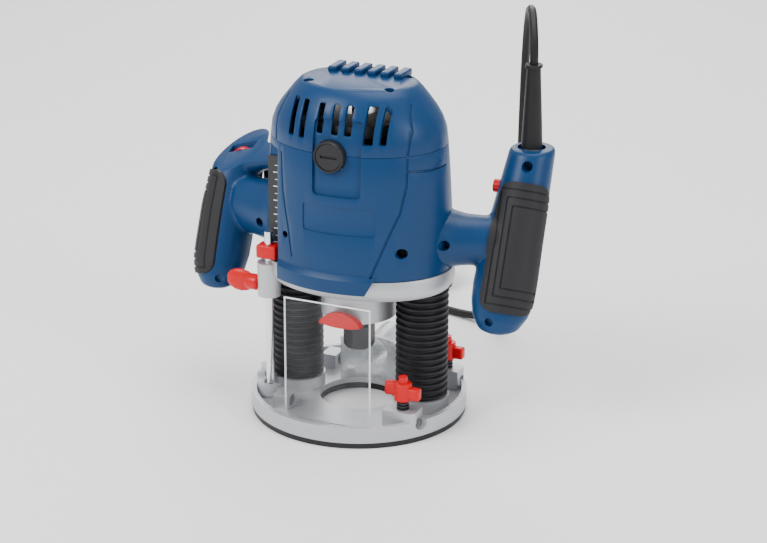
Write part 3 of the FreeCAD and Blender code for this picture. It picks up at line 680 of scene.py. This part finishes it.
def space_in(piece):
    """The volume a piece encloses, in cubic metres."""
    shape = bmesh.new()
    shape.from_mesh(piece.data)
    space = shape.calc_volume()
    shape.free()
    return space


def grip_pad(name, handle, at, facing, half, out, proud, contour):
    """The rubber pad: the handle's own skin, grown, kept inside a rounded outline, with nested grooves.

    A groove whose cut makes the pad collapse is left out, so a pad can have fewer than its contour lists.
    """
    pad = copied(handle, name)
    finish_with(pad, "DISPLACE", strength=proud * MM, mid_level=0.0)
    turn = Matrix.Rotation(-LEAN, 4, "X") @ Matrix.Rotation(math.radians(facing), 4, "Z")
    across, along = half
    reach_out = (out, out + SLOT_REACH)
    outline = leaning_block("outline", at, turn, reach_out, (-across, across), (-along, along), 10.0)
    cut(pad, outline, "INTERSECT")
    inner = copied(handle, "inner")
    finish_with(inner, "DISPLACE", strength=(proud - SLOT_DEPTH) * MM, mid_level=0.0)
    slots = []
    for start, reach in contour:
        start, reach = start * across, reach * along
        open_end = -across * 1.5 if start > 0 else across * 1.5
        for z in (-reach, reach):
            y = sorted((start, open_end * 0.62))
            slots.append(leaning_block("slot", at, turn, reach_out, y, (z - SLOT_HALF, z + SLOT_HALF)))
        y = (start - SLOT_HALF, start + SLOT_HALF)
        slots.append(leaning_block("slot", at, turn, reach_out, y, (-reach, reach)))
    for slot in slots:
        before = space_in(pad)
        kept = copied(pad, "kept")
        cut(slot, copied(inner, "inner_copy"))
        cut(pad, slot)
        if space_in(pad) < before * SLOT_KEEPS:
            pad.data = kept.data.copy()
        bpy.data.objects.remove(kept)
    bpy.data.objects.remove(inner)
    if space_in(pad) < PAD_LEAST:
        raise RuntimeError(f"{name} lost its material to the grooves")
    return pad


class ROUTER_OT_right_handle(Step, bpy.types.Operator):
    """Right handle with its screw wells, trigger window and grip"""
    bl_idname = "router.right_handle"
    bl_label = "Right handle"

    def execute(self, context):
        proud = context.scene.router_sizes.grip_proud
        handle = handle_body("right_handle_skin", RIGHT_RINGS, RIGHT_ARM)
        pad = grip_pad("right_grip_pad", handle, (104.5, lean_y(125), 125), -62.0, (19.5, 44.0), 4.0, proud,
                       ((-0.74, 0.88), (-0.545, 0.755), (-0.35, 0.628)))
        cut(handle, lofted("core", upright(HOUSING_RINGS + CAP_RINGS), 64))
        for x, y, z, radius in ((66.5, -11, 131, 3.6), (101.5, -21, 84, 3.0), (110.4, 25.5, 181, 3.6)):
            drilled(handle, x, y, z, radius, depth=8)
        window = block("window", (98.4, 111.6), (-3, 13), (125.5, 165), 1.0, (-LEAN, 0, 0))
        window.data.transform(Matrix.Translation((0, (lean_y(145) + 14) * MM, 0)))
        cut(handle, window)
        cut(handle, turned("ring", ((186, 9.6), (192, 9.6)), GUARD_AT, 32))
        dressed(handle, "blue_plastic", "motor_unit",
                ("right_handle_front", "right_handle_back"))
        dressed(pad, "soft_grip", "motor_unit", ("right_soft_grip",))
        return {"FINISHED"}


class ROUTER_OT_left_handle(Step, bpy.types.Operator):
    """Left handle with its sloping top, speed wheel window and grip"""
    bl_idname = "router.left_handle"
    bl_label = "Left handle"

    def execute(self, context):
        proud = context.scene.router_sizes.grip_proud
        handle = handle_body("left_handle_skin", LEFT_RINGS, LEFT_ARM, LEFT_BRIDGE)
        upwards = Vector((-LEFT_TOP_SLOPE[0], -LEFT_TOP_SLOPE[1], 1))
        normal = upwards.to_track_quat("Z", "Y").to_matrix().to_4x4()
        top = block("top", (-40, 48), (-60, 60), (0, 60), 0.0)
        top.matrix_world = Matrix.Translation(Vector(LEFT_TOP) * MM) @ normal
        cut(handle, settle(top))
        pad = grip_pad("left_grip_pad", handle, (-107.8, lean_y(113), 113), -150.0, (18.5, 37.0), 1.0, proud,
                       ((0.74, 0.88), (0.52, 0.74), (0.3, 0.6)))
        cut(handle, lofted("core", upright(HOUSING_RINGS + CAP_RINGS), 64))
        for x, y, z, radius in ((-70, -12, 128, 3.4), (-100.5, -21, 83, 3.2), (-118, 15, 150, 3.0)):
            drilled(handle, x, y, z, radius, depth=8)
        cut(handle, block("window", (-116.8, -97.2), (33.6, 41.4), (145, 190), 0.8))
        bevelled(handle, 0.8, 2, 42)
        dressed(handle, "blue_plastic", "motor_unit",
                ("left_handle_front", "left_handle_back"))
        dressed(pad, "soft_grip", "motor_unit", ("left_soft_grip",))
        return {"FINISHED"}


class ROUTER_OT_housing(Step, bpy.types.Operator):
    """Motor housing and top cap, with vents, seams, recesses and the front flap"""
    bl_idname = "router.housing"
    bl_label = "Motor housing"

    def execute(self, context):
        housing = lofted("housing_skin", upright(HOUSING_RINGS), SKIN_SIDES)
        low = [(0, 0, 105, 62.6, 45.8)] + upright(HOUSING_RINGS[1:], WALL) + [(0, 0, 200, 58.6, 45.0)]
        notch = block("notch", (-90, -44), (-80, -22.5), (100, 191), 1.5)
        filled = copied(notch, "filled")
        filled.data.transform(Matrix.Translation((3 * MM, 3 * MM, 3 * MM)))
        cavity = lofted("cavity", low, SKIN_SIDES)
        cut(cavity, filled)
        cut(housing, cavity)
        cut(housing, notch)
        self.tongue(housing)
        pocket(housing, (-12.5, 21.5), (168, 230), 1.8)
        pocket(housing, (-20, 31), (142, 161), 0.7, 2.0)
        groove(housing, ((48, 195), (48, 176), (45, 158), (38, 140), (27, 111)))
        groove(housing, ((48, 186), (56, 185), (63, 184)))
        groove(housing, ((-40, 191), (-38, 165), (-33, 140), (-30, 120)))
        groove(housing, ((-60, 176), (-30, 172), (0, 176), (30, 172), (60, 176)), 0.8, -1)
        drilled(housing, 46, -34, 130, 3.6)
        drilled(housing, -36, -39, 134, 2.4)
        cut(housing, turned("brush_well", ((-60, 11.1), (-44, 11.1)), BRUSH_AT, 40, "Y"))
        bevelled(housing, 0.4, 2, 50)
        dressed(housing, "blue_plastic", "motor_unit", ("motor_housing",))
        cap = lofted("cap_skin", upright(CAP_RINGS), SKIN_SIDES)
        inner = [(0, 0, 190, 58.8, 45.1)] + upright(CAP_RINGS[1:-2], WALL) + [(0, 0, 232.8, 38, 29.5)]
        cut(cap, lofted("cap_cavity", inner, SKIN_SIDES))
        pocket(cap, (-12.5, 21.5), (168, 219), 1.8)
        for side in (-1, 1):
            for x, width in ((-31, 4.5), (-22, 4.5), (-9, 4.5), (2, 5), (11, 5), (25, 6.5), (34, 4.5)):
                y = sorted((side * 27, side * 60))
                z = (204 if abs(x - 1) > 12 else 209, 228)
                cut(cap, block("vent", (x - width / 2, x + width / 2), y, z, 1.0, segments=2))
        groove(cap, ((48, 197), (49, 212), (44, 227)))
        groove(cap, ((-46, 197), (-47, 212), (-42, 227)))
        cut(cap, turned("brush_well", ((-60, 11.1), (-44, 11.1)), BRUSH_AT, 40, "Y"))
        for x, y in ((-29, -17), (29, -17), (-29, 17), (29, 17)):
            drilled(cap, x, y, 236, 3.4, "Z")
        dressed(bevelled(cap, 0.4, 2, 50), "blue_plastic", "motor_unit", ("top_cap",))
        bars = []
        for k in range(6):
            x = -24 + 9.6 * k
            bars.append(block("bar", (x - 3, x + 3), (8, 27), (234, 239.5), 1.2))
        dressed(joined("cap_louvres", bars), "blue_plastic", "motor_unit")
        rim = turned("rim", ((-50.3, 10.4), (-49.2, 10.8), (-44.5, 10.8)), BRUSH_AT, 48, "Y")
        cut(rim, turned("rim_hole", ((-60, 9.3), (-40, 9.3)), BRUSH_AT, 48, "Y"))
        dressed(bevelled(rim, 0.4, 2, 40), "black_plastic", "motor_unit")
        return {"FINISHED"}

    def tongue(self, housing):
        """The flap in front that laps over the drive housing's ring."""
        flap = [(0, 0, 101.2, 69.0, 51.4), (0, 0, 110.6, 69.0, 51.5), (0, 0, 114.0, 65.6, 48.9)]
        outer = lofted("tongue", flap, SKIN_SIDES)
        room = [(0, 0, 90, 68.0, 50.45), (0, 0, 110.25, 68.0, 50.45), (0, 0, 118, 62, 45)]
        cut(outer, lofted("tongue_room", room, SKIN_SIDES))
        cut(outer, block("keep", (-43, 40), (-80, 0), (80, 120)), "INTERSECT")
        slant = block("slant", (0, 60), (-80, 0), (-40, 60))
        turn = Matrix.Rotation(math.radians(27.8), 4, "Y")
        slant.matrix_world = Matrix.Translation((23.5 * MM, 0, 98.5 * MM)) @ turn
        cut(outer, settle(slant))
        cut(housing, outer, "UNION")


class ROUTER_OT_bellows(Step, bpy.types.Operator):
    """Folded bellows and the return springs"""
    bl_idname = "router.bellows"
    bl_label = "Bellows"

    def execute(self, context):
        folds = context.scene.router_sizes.folds
        for side, word in ((-1, "left"), (1, "right")):
            profile = []
            pitch = 78.6 / folds
            for k in range(folds):
                z = 17.05 + k * pitch
                profile += [(z, 15.9), (z + pitch * 0.18, 16.2), (z + pitch * 0.38, 18.1),
                            (z + pitch * 0.62, 18.1), (z + pitch * 0.82, 16.2)]
            profile.append((95.6, 15.9))
            sleeve = turned("bellows_" + word, profile, (side * COLUMN_X, 0), 44)
            nodes = ("bellows",) if side > 0 else ()
            dressed(sleeve, "bellows_rubber", None, nodes)
            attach(sleeve, "base")
            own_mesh(sleeve)
            points = []
            for k in range(SPRING_STEPS):
                t = k / (SPRING_STEPS - 1)
                angle = 2 * math.pi * SPRING_TURNS * t
                x, y = SPRING_R * math.cos(angle), SPRING_R * math.sin(angle)
                points.append((side * COLUMN_X + x, y, 18.6 + 75.4 * t))
            spring = wire("spring_" + word, points, 0.9)
            spring.name = "spring_" + word
            nodes = ("return_springs",) if side > 0 else ()
            dressed(spring, "steel", None, nodes)
            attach(spring, "base")
            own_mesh(spring)
        return {"FINISHED"}


class ROUTER_OT_knobs(Step, bpy.types.Operator):
    """Red wing knobs of the guide clamps and the depth stop"""
    bl_idname = "router.knobs"
    bl_label = "Wing knobs"

    def execute(self, context):
        for y, word in ((-39.5, "front"), (39.5, "rear")):
            parts = [turned("hub", ((28, 5.4), (28.6, 6.0), (39.8, 6.0), (40.4, 5.4)), (CLAMP_X, y), 32)]
            parts.append(block("wing", (37.5, 46.5), (y - 3.2, y + 3.2), (31, 40.4), 1.4))
            parts.append(block("wing", (53.5, 62.5), (y - 3.2, y + 3.2), (29.2, 37.5), 1.4))
            knob = joined(word + "_wing_knob", parts)
            cut(knob, turned("well", ((37.5, 3.0), (45, 3.0)), (CLAMP_X, y), 24))
            dressed(knob, "red_plastic", word + "_guide_clamp", (word + "_clamp_knob",))
            ribs = []
            for k in range(4):
                z = 18.6 + 2.3 * k
                step = ((z, 3.3), (z + 0.5, 4.2), (z + 1.2, 4.2), (z + 1.7, 3.3))
                ribs.append(turned("rib", step, (CLAMP_X, y), 24))
            dressed(joined(word + "_stud_ribs", ribs), "black_oxide", word + "_guide_clamp")
        y, z = -30.0, 91.5
        hub = turned("hub", ((-61.5, 4.6), (-63, 5.6), (-69, 5.6), (-71, 4.6)), (y, z), 28, "X")
        rings = ((-67, y, z, 2.6, 5.0), (-70, y, z, 2.9, 7.0), (-75, y, z, 2.9, 8.2), (-80, y, z, 2.7, 7.6),
                 (-84, y, z, 2.2, 5.6), (-85.5, y, z, 1.4, 3.4))
        leaf = lofted("leaf", rings, 32, "X")
        knob = joined("depth_wing_knob", [hub, leaf])
        dressed(knob, "red_plastic", "depth_clamp", ("depth_clamp_knob",))
        return {"FINISHED"}


class ROUTER_OT_trim(Step, bpy.types.Operator):
    """Cord guard, depth pointer and a painted highlight along the clear guard's edges"""
    bl_idname = "router.trim"
    bl_label = "Trim"

    def execute(self, context):
        profile = [(189.2, 7.2), (190, 7.2), (205, 6.6), (225, 5.6), (244.0, 4.7), (244.4, 5.9), (245.9, 6.0),
                   (246.4, 5.6)]
        guard = turned("guard_sleeve", profile, GUARD_AT, 40)
        cut(guard, turned("bore", ((232.5, 3.1), (250, 3.1)), GUARD_AT, 32))
        dressed(guard, "cord_rubber", "motor_unit", ("cord_guard",))
        # painted highlight: a thin near-white wire traced along the clear guard's edges
        corners = ((-31.3, -52.6, 13), (-31.3, -52.6, 93.6), (31.3, -52.6, 93.6), (31.3, -52.6, 13))
        edges = wire("chip_guard_edge_highlight", corners, 0.75)
        edges.name = "chip_guard_edge_highlight"
        dressed(edges, "edge_highlight", "chip_shield")
        slider = block("slider_body", (-61.5, -46.5), (-35.5, -25.0), (111.2, 120.8), 1.6)
        pointer = block("pointer", (-57.5, -50.5), (-26.5, -23.6), (116, 122.5), 0.8)
        lip = block("lip", (-61.5, -46.5), (-37.0, -33.0), (111.2, 115.0), 1.2)
        slider = joined("depth_pointer", [slider, pointer, lip])
        cut(slider, turned("hole", ((100, 3.05), (130, 3.05)), DEPTH_ROD_AT, 28))
        dressed(slider, "red_plastic", "depth_index", ("index_slider",))
        return {"FINISHED"}


CAD_FINISHES = {
    "cast_aluminium": ("base_plate", "drive_housing"),
    "sole_plastic": ("base_sole",),
    "steel": ("sole_screws", "guide_columns", "dust_adapter_screws", "turret_screw", "lower_bearing",
              "upper_bearing", "spindle_shaft", "collet", "spindle_lock_pin", "plunge_lever_pin"),
    "chrome_rod": ("depth_rod",),
    "black_oxide": ("front_clamp_stud", "rear_clamp_stud", "collet_nut", "cap_screws", "depth_clamp_stud"),
    "clear_plastic": ("chip_guard",),
    "rippled_clear": ("dust_adapter",),
    "grey_plastic": ("step_turret",),
    "bronze": ("guide_bushes", "brush_holders"),
    "black_plastic": ("bearing_carrier", "cooling_fan", "brush_caps", "cord_tie", "switch_module",
                      "plunge_lock_lever"),
    "laminations": ("rotor_core", "stator_core"),
    "copper": ("rotor_windings", "commutator", "field_windings"),
    "carbon": ("carbon_brushes",),
    "circuit_board": ("control_board",),
    "red_plastic": ("spindle_lock_button", "trigger", "lock_on_button", "speed_dial"),
    "scale_strip": ("depth_scale",),
}


class ROUTER_OT_frame_finishes(Step, bpy.types.Operator):
    """Gives the frame's own nodes their finishes"""
    bl_idname = "router.frame_finishes"
    bl_label = "Frame finishes"

    def execute(self, context):
        for finish, nodes in CAD_FINISHES.items():
            for name in nodes:
                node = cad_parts[name]
                node.data.materials.clear()
                node.data.materials.append(FINISHES[finish])
        return {"FINISHED"}


class ROUTER_PT_panel(bpy.types.Panel):
    bl_label = "Plunge router"
    bl_idname = "ROUTER_PT_panel"
    bl_space_type = "VIEW_3D"
    bl_region_type = "UI"
    bl_category = "Router"

    def draw(self, context):
        for group in (context.scene.router_colours, context.scene.router_sizes):
            for key in group.bl_rna.properties.keys():
                if key not in ("rna_type", "name"):
                    self.layout.prop(group, key)
        for step in STEPS:
            self.layout.operator(step.bl_idname)


STEPS = (ROUTER_OT_finishes, ROUTER_OT_stage, ROUTER_OT_cord, ROUTER_OT_housing, ROUTER_OT_right_handle,
         ROUTER_OT_left_handle, ROUTER_OT_bellows, ROUTER_OT_knobs, ROUTER_OT_trim, ROUTER_OT_frame_finishes)
CLASSES = (RouterColours, RouterSizes) + STEPS + (ROUTER_PT_panel,)


def register():
    for item in CLASSES:
        bpy.utils.register_class(item)
    bpy.types.Scene.router_colours = bpy.props.PointerProperty(type=RouterColours)
    bpy.types.Scene.router_sizes = bpy.props.PointerProperty(type=RouterSizes)


def unregister():
    del bpy.types.Scene.router_colours
    del bpy.types.Scene.router_sizes
    for item in reversed(CLASSES):
        bpy.utils.unregister_class(item)


def main():
    register()
    bpy.ops.router.finishes()
    bpy.ops.router.stage()
    bpy.ops.router.cord()
    bpy.ops.router.housing()
    bpy.ops.router.right_handle()
    bpy.ops.router.left_handle()
    bpy.ops.router.bellows()
    bpy.ops.router.knobs()
    bpy.ops.router.trim()
    bpy.ops.router.frame_finishes()


if __name__ == "__main__":
    main()
